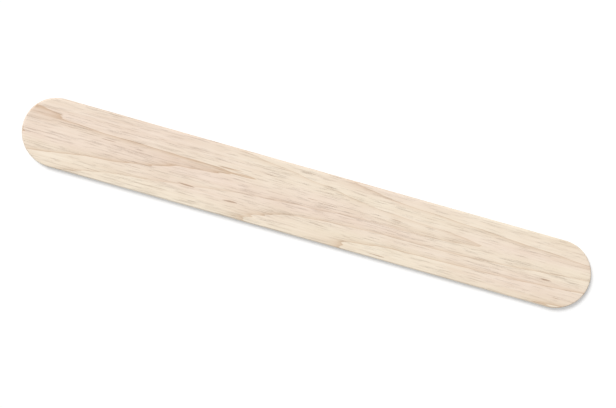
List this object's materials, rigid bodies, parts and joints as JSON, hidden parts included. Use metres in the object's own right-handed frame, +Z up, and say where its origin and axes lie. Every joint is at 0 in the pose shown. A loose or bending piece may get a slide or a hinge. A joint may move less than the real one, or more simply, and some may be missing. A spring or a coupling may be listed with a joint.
{
  "type": "tongue depressor",
  "caption": "Flat wooden tongue depressor with parallel sides, full-round ends and eased edges, for holding the tongue down.",
  "frame": {"origin": "centre of the lower broad face, which lies on the surface the stick rests on", "axes": "+X along the stick from tip to tip, +Y across it, +Z up through its thickness"},
  "size_m": [0.1016, 0.012, 0.0012],
  "materials": {
    "birch_wood": "bare, tumbled smooth, with a dull silky sheen"
  },
  "bodies": {
    "root": {"blade": "birch_wood"}
  },
  "joints": []
}
